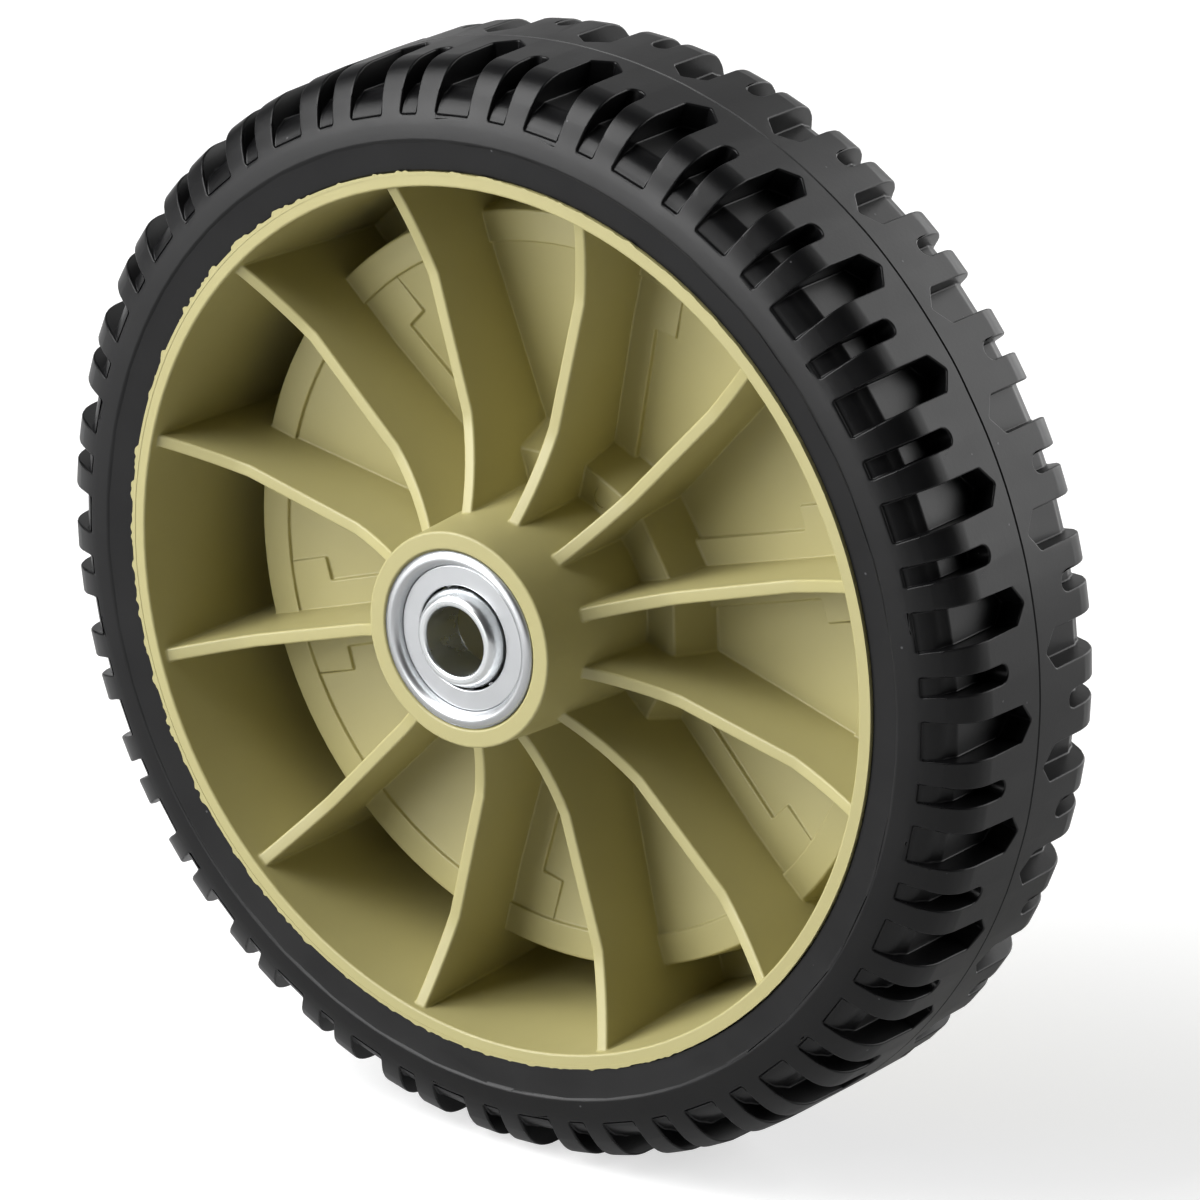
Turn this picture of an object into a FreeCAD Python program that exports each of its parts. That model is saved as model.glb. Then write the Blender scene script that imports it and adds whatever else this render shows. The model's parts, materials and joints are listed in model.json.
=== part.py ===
import FreeCAD, Part
import math
import os

import Sketcher

# A lawn mower wheel: a ribbed plastic wheel moulded in one piece, a solid lugged tyre on its rim,
# and a flanged ball bearing pressed into each end of the hub for a plain axle.
# Every body is drawn about its own Z axis and then laid over, so that the axle runs along Y and the
# ribbed outboard face looks towards -Y. Lengths are in millimetres and angles in degrees.

SIZES = {
    # inner ring of a bearing, and the axle that it runs on
    "axle_diameter": 12.7,
    "axle_clearance": 0.05,
    "groove_wall": 1.2,
    "ring_wall": 1.95,
    "ring_flare": 0.85,
    "ring_proud": 1.2,
    "ring_tail": 2.75,
    "ring_round": 0.6,
    # balls and the two halves of the outer race
    "ball_diameter": 4.762,
    "ball_clearance": 0.04,
    "ball_spacing": 0.06,
    "race_wall": 0.95,
    "race_shoulder": 1.05,
    "race_lip": 1.3,
    # pressed shell with its flange, and the shield
    "shell_wall": 0.9,
    "seat_clearance": 0.05,
    "flange_width": 1.95,
    "flange_rise": 0.4,
    "flange_sink": 0.8,
    "flange_gap": 0.25,
    "shield_thickness": 0.8,
    "shield_recess": 1.3,
    "shield_gap": 0.45,
    # hub of the moulded wheel and the faceted boss round its root
    "hub_wall": 5.5,
    "hub_flare": 2.0,
    "hub_length": 54.0,
    "hub_proud": 9.7,
    "hub_shoulder": 2.3,
    "boss_rise": 10.3,
    "boss_ledge": 5.3,
    "boss_draft": 18.0,
    # dished web, the wall round it and the trough outside that wall
    "web_thickness": 3.0,
    "web_level": -0.3,
    "web_dish": 4.1,
    "band_width": 5.8,
    "band_step": 1.3,
    "wall_thickness": 2.6,
    "wall_flare": 3.3,
    "trough_width": 8.4,
    "floor_thickness": 2.5,
    "floor_inset": 0.5,
    # rim
    "rim_width": 46.8,
    "rim_wall": 2.6,
    "rim_draft": 2.4,
    # ribs, the raised strips beside every second rib, and the feet of the ribs in the trough
    "rib_count": 12,
    "rib_thickness": 2.5,
    "rib_dip": 7.0,
    "rib_fall": 17.4,
    "rib_climb": 17.3,
    "rib_end_drop": 1.5,
    "rib_hub_curve": 50.0,
    "rib_rim_curve": 100.0,
    "strip_width": 5.0,
    "strip_rise": 1.4,
    "pad_width": 9.5,
    "pad_length": 8.8,
    "foot_width": 6.5,
    "foot_rise": 6.0,
    # tyre
    "tyre_diameter": 203.2,
    "tyre_thickness": 19.1,
    "tyre_gap": 0.1,
    "bead_inset": 0.5,
    "sidewall_bulge": 0.4,
    "sidewall_height": 8.0,
    "crown_width": 33.2,
    "shoulder_curve": 17.0,
    # tread recesses: long ones with a pointed tip alternate with short ones with a round end
    "recess_pairs": 30,
    "recess_depth": 4.9,
    "recess_reach": 9.2,
    "recess_foot_depth": 1.1,
    "long_width": 7.1,
    "long_gap": 2.5,
    "long_point": 2.8,
    "short_width": 3.5,
    "short_gap": 9.2,
    # turns of the wheel and of the tyre about the axle
    "rib_clocking": 16.9,
    "tread_clocking": -0.6,
}

# how far a cutting tool runs past the surface that it cuts
CUT_MARGIN = 4.0
# share of the trough wall's thickness that the foot of a rib runs into
FOOT_BITE = 0.75
# how much wider than deep the last step of a tread recess is
RECESS_STEP = 1.5
FULL_TURN = 360.0
# a ball has few faces: a cube of this share of the ball's radius, with this share of it off each edge
BALL_FLAT = (1 + math.sqrt(2)) / math.sqrt(5 + 2 * math.sqrt(2))
BALL_CORNER = 2 - math.sqrt(2)
CUBE_EDGES = 12


class Size:
    """A length that knows both its number and the sheet formula that drives it."""

    def __init__(self, value, formula):
        self.value = value
        self.formula = formula

    def combine(self, other, sign, value):
        return Size(value, f"({self.formula} {sign} {as_size(other).formula})")

    def __add__(self, other):
        return self.combine(other, "+", self.value + as_size(other).value)

    def __sub__(self, other):
        return self.combine(other, "-", self.value - as_size(other).value)

    def __mul__(self, other):
        return self.combine(other, "*", self.value * as_size(other).value)

    def __truediv__(self, other):
        return self.combine(other, "/", self.value / as_size(other).value)

    def __neg__(self):
        return Size(-self.value, f"(-1 * {self.formula})")

    def root(self):
        return Size(math.sqrt(self.value), f"sqrt({self.formula})")


def as_size(number):
    """Wraps a plain number, so that it mixes with sizes from the sheet."""
    if isinstance(number, Size):
        return number
    return Size(float(number), f"({float(number)!r})")


class Sizes:
    """Holds one Size for each row of the sheet, under the row's alias."""

    def __init__(self, sheet, aliases):
        for alias in aliases:
            setattr(self, alias, Size(float(sheet.get(alias)), f"{sheet.Name}.{alias}"))


def write_sheet(doc):
    """Writes the driving dimensions to a sheet, one alias a row."""
    sheet = doc.addObject("Spreadsheet::Sheet", "Sizes")
    for row, (alias, value) in enumerate(SIZES.items(), start=1):
        sheet.set(f"A{row}", alias)
        sheet.set(f"B{row}", str(value))
        sheet.setAlias(f"B{row}", alias)
    doc.recompute()
    return Sizes(sheet, SIZES)


def origin_feature(body, role):
    """Finds one of a body's own origin planes or axes by its role."""
    return next(feature for feature in body.Origin.OriginFeatures if feature.Role == role)


def new_body(doc, name):
    """Starts a body whose label names its file."""
    body = doc.addObject("PartDesign::Body", name)
    body.Label = name
    return body


def turned_plane(body, name, role, angle):
    """Makes a datum plane from an origin plane turned about the axle by an angle."""
    plane = body.newObject("PartDesign::Plane", name)
    plane.AttachmentSupport = [(origin_feature(body, role), "")]
    plane.MapMode = "FlatFace"
    plane.AttachmentOffset = FreeCAD.Placement(
        FreeCAD.Vector(), FreeCAD.Rotation(FreeCAD.Vector(0, 1, 0), angle.value)
    )
    plane.setExpression("AttachmentOffset.Rotation.Angle", angle.formula)
    return plane


def arc_between(start, end, radius):
    """Makes the minor arc of a signed radius; a positive one bulges left of the way from start to end."""
    chord = end.sub(start)
    left = FreeCAD.Vector(-chord.y, chord.x, 0).normalize()
    rise = math.sqrt(radius * radius - chord.Length * chord.Length / 4)
    middle = start.add(end).multiply(0.5)
    side = 1 if radius > 0 else -1
    centre = middle.sub(FreeCAD.Vector(left).multiply(side * rise))
    first, last = (end, start) if side > 0 else (start, end)
    circle = Part.Circle(centre, FreeCAD.Vector(0, 0, 1), abs(radius))
    return Part.ArcOfCircle(circle, circle.parameter(first), circle.parameter(last))


def outline(body, name, plane, corners, lift=None):
    """Draws a closed outline whose corners are bound to the sheet.

    A corner is (x, y), or (x, y, radius) where the edge that leaves it is an arc. The sketch lies on
    the plane, or parallel to it at the distance lift.
    """
    sketch = body.newObject("Sketcher::SketchObject", name)
    sketch.AttachmentSupport = [(plane, "")]
    sketch.MapMode = "FlatFace"
    if lift is not None:
        sketch.setExpression("AttachmentOffset.Base.z", lift.formula)
    places = [(as_size(corner[0]), as_size(corner[1])) for corner in corners]
    points = [FreeCAD.Vector(x.value, y.value, 0) for x, y in places]
    edges = []
    ends = []
    bound = []
    for index, corner in enumerate(corners):
        start = points[index]
        end = points[(index + 1) % len(points)]
        if len(corner) == 2:
            edges.append(Part.LineSegment(start, end))
            ends.append((1, 2))
        else:
            edges.append(arc_between(start, end, corner[2].value))
            ends.append((2, 1) if corner[2].value > 0 else (1, 2))
            bound.append(("Radius", index, corner[2] if corner[2].value > 0 else -corner[2]))
    sketch.addGeometry(edges, False)
    joints = []
    for index in range(len(edges)):
        after = (index + 1) % len(edges)
        joints.append(Sketcher.Constraint("Coincident", index, ends[index][1], after, ends[after][0]))
    for index, (x, y) in enumerate(places):
        bound.append(("DistanceX", index, x))
        bound.append(("DistanceY", index, y))
    dimensions = []
    for kind, index, length in bound:
        if kind == "Radius":
            dimensions.append(Sketcher.Constraint(kind, index, length.value))
        else:
            dimensions.append(Sketcher.Constraint(kind, -1, 1, index, ends[index][0], length.value))
    sketch.addConstraint(joints + dimensions)
    for offset, (kind, index, length) in enumerate(bound):
        sketch.setExpression(f"Constraints[{len(joints) + offset}]", length.formula)
    return sketch


def revolve(body, name, corners, kind="Revolution"):
    """Turns a section, given as (radius, height) corners, once round the axle, to add it or to cut it."""
    section = outline(body, f"{name}_section", origin_feature(body, "XZ_Plane"), corners)
    turned = body.newObject(f"PartDesign::{kind}", name)
    turned.Profile = section
    turned.ReferenceAxis = (section, ["V_Axis"])
    turned.Angle = FULL_TURN
    return turned


def slab(body, kind, name, corners, thickness, plane=None):
    """Adds or cuts a slab whose section lies in a plane through the axle, half on each side of it."""
    section = outline(body, f"{name}_section", plane or origin_feature(body, "XZ_Plane"), corners)
    feature = body.newObject(f"PartDesign::{kind}", name)
    feature.Profile = section
    feature.SideType = "Symmetric"
    feature.Refine = False
    feature.setExpression("Length", thickness.formula)
    return feature


def polar(body, name, features, count):
    """Repeats features evenly round the axle."""
    pattern = body.newObject("PartDesign::PolarPattern", name)
    pattern.Originals = features
    pattern.Axis = (origin_feature(body, "Z_Axis"), [""])
    pattern.Angle = FULL_TURN
    pattern.Refine = False
    pattern.setExpression("Occurrences", count.formula)
    body.Tip = pattern
    return pattern


class Bearing:
    """Radii and depths of one bearing, worked outwards from the axle; heights start at the hub's face."""

    def __init__(self, s):
        self.bore = s.axle_diameter / 2 + s.axle_clearance
        self.ring = self.bore + s.ring_wall
        self.ring_root = self.ring + s.ring_flare
        self.shield_hole = self.ring_root + s.shield_gap
        self.ball = s.ball_diameter / 2
        self.groove = self.ball + s.ball_clearance
        self.groove_flat = self.groove * math.tan(math.pi / 8)
        self.pitch = self.bore + s.groove_wall + self.groove
        self.ring_groove = self.pitch - self.groove
        self.race_groove = self.pitch + self.groove
        self.race_inner = self.pitch + s.race_lip
        self.race_outer = self.race_groove + s.race_wall
        self.shell_inner = self.race_outer + s.seat_clearance
        self.shell = self.shell_inner + s.shell_wall
        self.flange = self.shell + s.flange_width
        self.shield_top = -s.shield_recess
        self.race_top = self.shield_top - s.shield_thickness
        self.race_half = self.groove + s.race_shoulder
        self.ball_level = self.race_top - self.race_half
        self.race_bottom = self.ball_level - self.race_half
        self.depth = -(self.race_bottom - s.shell_wall)
        self.seat = self.shell + s.seat_clearance
        spacing = s.ball_diameter.value + s.ball_spacing.value
        self.ball_count = int(math.pi / math.asin(spacing / (2 * self.pitch.value)))


class Wheel:
    """Radii and levels of the moulded wheel; heights start at the tyre's middle plane."""

    def __init__(self, s, bearing):
        self.rim_face = s.rim_width / 2
        self.rim = s.tyre_diameter / 2 - s.tyre_thickness - s.tyre_gap
        self.rim_inner = self.rim - s.rim_wall
        self.rim_inner_low = self.rim_inner - s.rim_draft
        self.hub_top = self.rim_face + s.hub_proud
        self.hub_bottom = self.hub_top - s.hub_length
        self.hub = bearing.seat + s.hub_wall
        self.hub_root = self.hub + s.hub_flare
        self.hub_core = bearing.seat + s.hub_wall / 2
        self.flange_seat = bearing.flange + s.flange_gap
        self.floor = -self.rim_face + s.floor_inset + s.floor_thickness
        self.floor_under = -self.rim_face + s.floor_inset
        self.floor_core = -self.rim_face + s.floor_inset + s.floor_thickness / 2
        self.wall = self.rim_inner - s.rim_draft / 2 - s.trough_width
        self.wall_low = self.wall + s.wall_flare
        self.band = self.wall - s.band_width
        self.band_top = s.web_level + s.band_step
        self.web_root = s.web_level - s.web_dish
        self.web_slope = s.web_dish / (self.band - self.hub_root)

    def web_height(self, s, radius):
        """Height of the web's outboard face at a radius between the hub and the raised band."""
        return s.web_level - (self.band - radius) * self.web_slope


def mould_wheel(doc, s, bearing, wheel):
    """Moulds hub, web, trough, rim and ribs as one piece."""
    body = new_body(doc, "moulded_wheel")
    half_web = s.web_thickness / 2
    revolve(body, "hub_web_and_rim", [
        (wheel.flange_seat, wheel.hub_top),
        (wheel.hub, wheel.hub_top),
        (wheel.hub_root, wheel.web_root),
        (wheel.band, s.web_level),
        (wheel.band, wheel.band_top),
        (wheel.wall, wheel.band_top),
        (wheel.wall_low, wheel.floor),
        (wheel.rim_inner_low, wheel.floor),
        (wheel.rim_inner, wheel.rim_face),
        (wheel.rim, wheel.rim_face),
        (wheel.rim, -wheel.rim_face),
        (wheel.rim_inner, -wheel.rim_face),
        (wheel.rim_inner, wheel.floor_under),
        (wheel.wall_low - s.wall_thickness, wheel.floor_under),
        (wheel.wall - s.wall_thickness, wheel.band_top - s.web_thickness),
        (wheel.hub_root, wheel.web_root - s.web_thickness),
        (wheel.hub, wheel.hub_bottom),
        (wheel.flange_seat, wheel.hub_bottom),
        (wheel.flange_seat, wheel.hub_bottom + s.flange_sink),
        (bearing.seat, wheel.hub_bottom + s.flange_sink),
        (bearing.seat, wheel.hub_bottom + bearing.depth),
        (bearing.seat - s.hub_shoulder, wheel.hub_bottom + bearing.depth),
        (bearing.seat - s.hub_shoulder, wheel.hub_top - bearing.depth),
        (bearing.seat, wheel.hub_top - bearing.depth),
        (bearing.seat, wheel.hub_top - s.flange_sink),
        (wheel.flange_seat, wheel.hub_top - s.flange_sink),
    ])
    add_boss(body, s, wheel)
    revolve(body, "hub_hollow", [
        (as_size(0), wheel.hub_top - bearing.depth),
        (bearing.seat - s.hub_shoulder, wheel.hub_top - bearing.depth),
        (bearing.seat - s.hub_shoulder, wheel.hub_bottom + bearing.depth),
        (as_size(0), wheel.hub_bottom + bearing.depth),
    ], kind="Groove")
    rib_top = wheel.rim_face - s.rib_dip
    rib_end = wheel.rim_face - s.rib_end_drop
    rim_core = wheel.rim - s.rim_wall / 2
    wall_core = wheel.wall - s.wall_thickness / 2
    low_wall_core = wheel.wall_low - s.wall_thickness / 2
    rib = slab(body, "Pad", "rib", [
        (wheel.hub_core, wheel.rim_face),
        (wheel.hub, wheel.rim_face, -s.rib_hub_curve),
        (wheel.hub + s.rib_fall, rib_top),
        (wheel.rim_inner - s.rib_climb, rib_top, -s.rib_rim_curve),
        (wheel.rim_inner, rib_end),
        (rim_core, rib_end),
        (rim_core, wheel.floor_core),
        (low_wall_core, wheel.floor_core),
        (wall_core, wheel.band_top - half_web),
        (wheel.hub_core, wheel.web_root - half_web),
    ], s.rib_thickness)
    foot_top = wheel.floor + s.foot_rise
    foot_inner = wheel.wall_low - s.wall_thickness * FOOT_BITE
    foot = slab(body, "Pad", "rib_foot", [
        (foot_inner, wheel.floor_core),
        (rim_core, wheel.floor_core),
        (rim_core, foot_top),
        (foot_inner, foot_top),
    ], s.rib_thickness + s.foot_width * 2)
    polar(body, "ribs_and_feet", [rib, foot], s.rib_count)
    add_strips(body, s, wheel)
    return body


def add_boss(body, s, wheel):
    """Adds the faceted boss round the hub's root, one flat to each bay between ribs."""
    top = wheel.web_root + s.boss_rise
    flats = int(s.rib_count.value)
    corner = (wheel.hub_root + s.boss_ledge) / math.cos(math.pi / flats)
    turns = [2 * math.pi * step / flats for step in range(flats)]
    corners = [(corner * round(math.cos(turn), 9), corner * round(math.sin(turn), 9)) for turn in turns]
    boss = body.newObject("PartDesign::Pad", "boss")
    boss.Profile = outline(body, "boss_outline", origin_feature(body, "XY_Plane"), corners, lift=top)
    boss.Reversed = True
    boss.setExpression("Length", (s.boss_rise + s.web_thickness / 2).formula)
    boss.setExpression("TaperAngle", s.boss_draft.formula)


def add_strips(body, s, wheel):
    """Raises a strip of the web on both sides of every second rib, wider towards the band."""
    half_web = s.web_thickness / 2
    pad_start = wheel.band - s.pad_length
    strip = slab(body, "Pad", "strip", [
        (wheel.hub_core, wheel.web_root - half_web),
        (pad_start, wheel.web_height(s, pad_start) - half_web),
        (pad_start, wheel.web_height(s, pad_start) + s.strip_rise),
        (wheel.hub_core, wheel.web_root + s.strip_rise),
    ], s.rib_thickness + s.strip_width * 2)
    pad = slab(body, "Pad", "strip_pad", [
        (pad_start, wheel.web_height(s, pad_start) - half_web),
        (wheel.band + s.band_width / 2, s.web_level - half_web),
        (wheel.band + s.band_width / 2, wheel.band_top - s.band_step / 2),
        (wheel.band, wheel.band_top - s.band_step / 2),
        (pad_start, wheel.web_height(s, pad_start) + s.strip_rise),
    ], s.rib_thickness + s.pad_width * 2)
    polar(body, "strips", [strip, pad], s.rib_count / 2)


def mould_tyre(doc, s, wheel):
    """Moulds the tyre and cuts its tread; the inboard half is turned by half a pitch.

    Each round shoulder is drawn as two chords of its arc.
    """
    body = new_body(doc, "tyre")
    inner = wheel.rim + s.tyre_gap
    bead = wheel.rim_face - s.bead_inset
    widest = wheel.rim_face + s.sidewall_bulge
    belly = inner + s.sidewall_height
    tread = s.tyre_diameter / 2
    edge = s.crown_width / 2
    climb = tread - belly
    slant = widest - edge
    chord = (climb * climb + slant * slant).root()
    bulge = s.shoulder_curve - (s.shoulder_curve * s.shoulder_curve - chord * chord / 4).root()
    shoulder = (belly + tread) / 2 + bulge * slant / chord
    shoulder_height = (widest + edge) / 2 + bulge * climb / chord
    revolve(body, "carcass", [
        (inner, -bead),
        (belly, -widest),
        (shoulder, -shoulder_height),
        (tread, -edge),
        (tread, edge),
        (shoulder, shoulder_height),
        (belly, widest),
        (inner, bead),
    ])
    half_pitch = as_size(FULL_TURN / 2) / s.recess_pairs
    kinds = {
        "long": (s.long_width, s.long_gap, s.long_point),
        "short": (s.short_width, s.short_gap, None),
    }
    cuts = []
    for side, half, turned_kind in ((1, "outboard", "short"), (-1, "inboard", "long")):
        for kind, shape in kinds.items():
            turn = half_pitch if kind == turned_kind else as_size(0)
            cuts += cut_recess(body, s, wheel, f"{half}_{kind}", side, turn, *shape)
    polar(body, "tread", cuts, s.recess_pairs)
    return body


def cut_recess(body, s, wheel, name, side, turn, width, gap, point):
    """Cuts one tread recess, pointed where a point is given and round-ended where none is."""
    tread = s.tyre_diameter / 2
    floor = tread - s.recess_depth
    foot = tread - s.recess_reach
    outside = wheel.rim_face + s.sidewall_bulge
    radial = turned_plane(body, f"{name}_radial", "XZ_Plane", turn)
    tangent = turned_plane(body, f"{name}_tangent", "YZ_Plane", turn)
    half = width / 2
    open_end = outside + CUT_MARGIN
    if point is None:
        shoulder = gap + half
        tip = [
            (half, shoulder * side, half * side),
            (as_size(0), gap * side, half * side),
            (-half, shoulder * side),
        ]
    else:
        shoulder = gap + point
        tip = [(half, shoulder * side), (as_size(0), gap * side), (-half, shoulder * side)]
    outer = [(-half, open_end * side), (half, open_end * side)]
    recess = body.newObject("PartDesign::Pocket", name)
    recess.Profile = outline(body, f"{name}_outline", tangent, outer + tip, lift=tread + CUT_MARGIN)
    recess.Refine = False
    recess.setExpression("Length", (s.recess_depth + CUT_MARGIN).formula)
    slope_start = s.crown_width / 2 + s.recess_foot_depth
    slope_end = outside - s.recess_foot_depth * RECESS_STEP
    run_out = slab(body, "Pocket", f"{name}_run_out", [
        (floor, slope_start * side),
        (foot + s.recess_foot_depth, slope_end * side),
        (foot, (outside - s.recess_foot_depth) * side),
        (foot, open_end * side),
        (tread + CUT_MARGIN, open_end * side),
        (tread + CUT_MARGIN, slope_start * side),
    ], width, plane=radial)
    return [recess, run_out]


def inner_ring(doc, s, bearing, name):
    """Turns an inner ring, with its three-sided ball groove and a nose that flares towards the shield."""
    body = new_body(doc, name)
    flat = bearing.groove_flat
    tail_half = flat + bearing.ring - bearing.ring_groove
    nose_half = flat + bearing.ring_root - bearing.ring_groove
    top = s.ring_proud
    bottom = bearing.ball_level - s.ring_tail
    revolve(body, "ring", [
        (bearing.bore, bottom),
        (bearing.ring, bottom),
        (bearing.ring, bearing.ball_level - tail_half),
        (bearing.ring_groove, bearing.ball_level - flat),
        (bearing.ring_groove, bearing.ball_level + flat),
        (bearing.ring_root, bearing.ball_level + nose_half),
        (bearing.ring_root, bearing.shield_top),
        (bearing.ring, top - s.ring_round),
        (bearing.ring - s.ring_round, top),
        (bearing.bore + s.ring_round / 2, top),
        (bearing.bore, top - s.ring_round / 2),
    ])
    return body


def race_half(doc, s, bearing, name, side):
    """Presses one half of the outer race; the halves meet in the plane of the ball centres."""
    body = new_body(doc, name)
    flat = bearing.groove_flat
    half = flat + bearing.race_groove - bearing.race_inner
    far = bearing.ball_level + bearing.race_half * side
    revolve(body, "half", [
        (bearing.race_groove, bearing.ball_level),
        (bearing.race_outer, bearing.ball_level),
        (bearing.race_outer, far),
        (bearing.race_inner, far),
        (bearing.race_inner, bearing.ball_level + half * side),
        (bearing.race_groove, bearing.ball_level + flat * side),
    ])
    return body


def shell(doc, s, bearing, name):
    """Presses the shell that holds the race, with its rolled flange outside and its lip turned in."""
    body = new_body(doc, name)
    crest = (bearing.flange + bearing.shell_inner) / 2
    revolve(body, "pressing", [
        (bearing.shell_inner, bearing.race_bottom),
        (bearing.race_inner, bearing.race_bottom),
        (bearing.race_inner, -bearing.depth),
        (bearing.shell, -bearing.depth),
        (bearing.shell, -s.flange_sink),
        (bearing.flange, -s.flange_sink),
        (bearing.flange, -(s.flange_rise / 2)),
        (crest + s.flange_width / 4, s.flange_rise),
        (crest - s.flange_width / 4, s.flange_rise),
        (bearing.shell_inner, -s.flange_sink),
    ])
    return body


def shield(doc, s, bearing, name):
    """Stamps the flat shield that covers the balls."""
    body = new_body(doc, name)
    revolve(body, "stamping", [
        (bearing.shield_hole, bearing.race_top),
        (bearing.race_outer, bearing.race_top),
        (bearing.race_outer, bearing.shield_top),
        (bearing.shield_hole, bearing.shield_top),
    ])
    return body


def facet_ball(doc, bearing, name):
    """Makes one ball with few faces, whose corners all lie on the ball's sphere."""
    body = new_body(doc, name)
    half = bearing.ball * BALL_FLAT
    cube = slab(body, "Pad", "cube", [(-half, -half), (half, -half), (half, half), (-half, half)], half * 2)
    facets = body.newObject("PartDesign::Chamfer", "facets")
    facets.Base = (cube, [f"Edge{index + 1}" for index in range(CUBE_EDGES)])
    facets.setExpression("Size", (half * BALL_CORNER).formula)
    return body


def ball_set(doc, bearing, name):
    """Fills the race with balls, as many as its circle takes."""
    pattern = facet_ball(doc, bearing, f"{name}_ball")
    balls = []
    for index in range(bearing.ball_count):
        turn = 2 * math.pi * index / bearing.ball_count
        ball = doc.addObject("App::Link", f"{name}_{index}")
        ball.LinkedObject = pattern
        ball.setExpression("Placement.Base.x", (bearing.pitch * math.cos(turn)).formula)
        ball.setExpression("Placement.Base.y", (bearing.pitch * math.sin(turn)).formula)
        ball.setExpression("Placement.Base.z", bearing.ball_level.formula)
        balls.append(ball)
    group = doc.addObject("Part::Compound", name)
    group.Label = name
    group.Links = balls
    return group


def lay(node, clocking, height):
    """Lays a piece over from Z to -Y, turned about the axle, with its base at a height along the axle."""
    over = FreeCAD.Rotation(FreeCAD.Vector(1, 0, 0), 90)
    spin = FreeCAD.Rotation(FreeCAD.Vector(0, 0, 1), clocking.value)
    node.Placement = FreeCAD.Placement(FreeCAD.Vector(0, -height.value, 0), over.multiply(spin))


def lay_inboard(node, height):
    """Lays a piece over from Z to +Y, as the bearing at the hub's other end sits."""
    over = FreeCAD.Rotation(FreeCAD.Vector(1, 0, 0), -90)
    node.Placement = FreeCAD.Placement(FreeCAD.Vector(0, -height.value, 0), over)


def build_bearing(doc, s, bearing, end):
    """Makes the six pieces of the bearing at one end of the hub."""
    return [
        shell(doc, s, bearing, f"{end}_bearing_shell"),
        shield(doc, s, bearing, f"{end}_bearing_shield"),
        race_half(doc, s, bearing, f"{end}_race_front_half", 1),
        race_half(doc, s, bearing, f"{end}_race_back_half", -1),
        inner_ring(doc, s, bearing, f"{end}_inner_ring"),
        ball_set(doc, bearing, f"{end}_ball_set"),
    ]


def check(doc, nodes):
    """Stops the build if an object failed, a shape is bad or a cut took nothing away."""
    for item in doc.Objects:
        if "Invalid" in item.State or "Error" in item.State:
            raise RuntimeError(f"{item.Label} failed: {item.State}")
        if item.TypeId == "PartDesign::Pocket" and item.Shape.Volume >= item.BaseFeature.Shape.Volume:
            raise RuntimeError(f"{item.Label} cuts nothing")
    for node in nodes:
        if node.Shape.isNull() or not node.Shape.isValid():
            raise RuntimeError(f"{node.Label} has no valid shape")


def main():
    """Builds the wheel and writes one file for each piece."""
    doc = FreeCAD.newDocument("mower_wheel")
    s = write_sheet(doc)
    bearing = Bearing(s)
    wheel = Wheel(s, bearing)
    moulding = mould_wheel(doc, s, bearing, wheel)
    tyre = mould_tyre(doc, s, wheel)
    outboard = build_bearing(doc, s, bearing, "outboard")
    inboard = build_bearing(doc, s, bearing, "inboard")
    doc.recompute()
    lay(moulding, s.rib_clocking, as_size(0))
    lay(tyre, s.tread_clocking, as_size(0))
    for node in outboard:
        lay(node, as_size(0), wheel.hub_top)
    for node in inboard:
        lay_inboard(node, wheel.hub_bottom)
    doc.recompute()
    nodes = [moulding, tyre] + outboard + inboard
    check(doc, nodes)
    os.makedirs("parts", exist_ok=True)
    for node in nodes:
        node.Shape.exportStep(f"parts/{node.Label}.step")
        print(node.Label, len(node.Shape.Solids), round(node.Shape.Volume, 1))


main()
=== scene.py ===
import json
import logging
import math
from collections.abc import Callable
from dataclasses import dataclass
from enum import Enum

import bpy
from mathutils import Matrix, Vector, noise

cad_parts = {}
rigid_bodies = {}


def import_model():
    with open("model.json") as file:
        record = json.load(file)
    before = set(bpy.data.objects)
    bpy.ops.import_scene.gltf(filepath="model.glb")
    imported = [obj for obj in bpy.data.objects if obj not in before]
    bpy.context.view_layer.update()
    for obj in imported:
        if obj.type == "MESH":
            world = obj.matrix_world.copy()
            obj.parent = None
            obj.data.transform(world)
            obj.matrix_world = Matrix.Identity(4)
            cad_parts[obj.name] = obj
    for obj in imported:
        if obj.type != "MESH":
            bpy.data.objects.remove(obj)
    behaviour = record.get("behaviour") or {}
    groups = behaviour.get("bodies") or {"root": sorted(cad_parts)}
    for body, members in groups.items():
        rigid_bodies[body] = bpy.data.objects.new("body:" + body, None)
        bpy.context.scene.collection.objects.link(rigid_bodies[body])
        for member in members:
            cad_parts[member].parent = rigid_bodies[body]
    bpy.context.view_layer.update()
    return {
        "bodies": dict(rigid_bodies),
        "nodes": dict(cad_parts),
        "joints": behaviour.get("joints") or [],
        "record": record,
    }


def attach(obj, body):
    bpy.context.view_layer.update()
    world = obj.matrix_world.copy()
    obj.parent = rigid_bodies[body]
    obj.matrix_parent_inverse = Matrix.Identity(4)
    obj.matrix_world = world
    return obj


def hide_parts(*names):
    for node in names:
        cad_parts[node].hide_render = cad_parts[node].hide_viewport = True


# Looks of a lawn mower wheel. The axle runs along Y and the ribbed outboard face looks towards -Y.
# Lengths are in millimetres where they are named so, and Blender's own are in metres.

LOG = logging.getLogger("mower_wheel")
MM = 0.001
WHITE = "#ffffff"

# Points of a solid's mesh closer than this are one, and faces that turn by less than this angle are one.
WELD_MM = 0.002
FLAT_ANGLE = 0.5

# A noise texture stays between these values almost everywhere.
NOISE_LOW = 0.3
NOISE_HIGH = 0.7

# Sockets of the colour form of the Mix node, which shares its socket names with the other forms.
MIX_FACTOR = 0
MIX_A = 6
MIX_B = 7
MIX_COLOUR = 2


class End(Enum):
    """The two ends of the hub, by the start of their nodes' names."""

    OUTBOARD = "outboard"
    INBOARD = "inboard"


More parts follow.
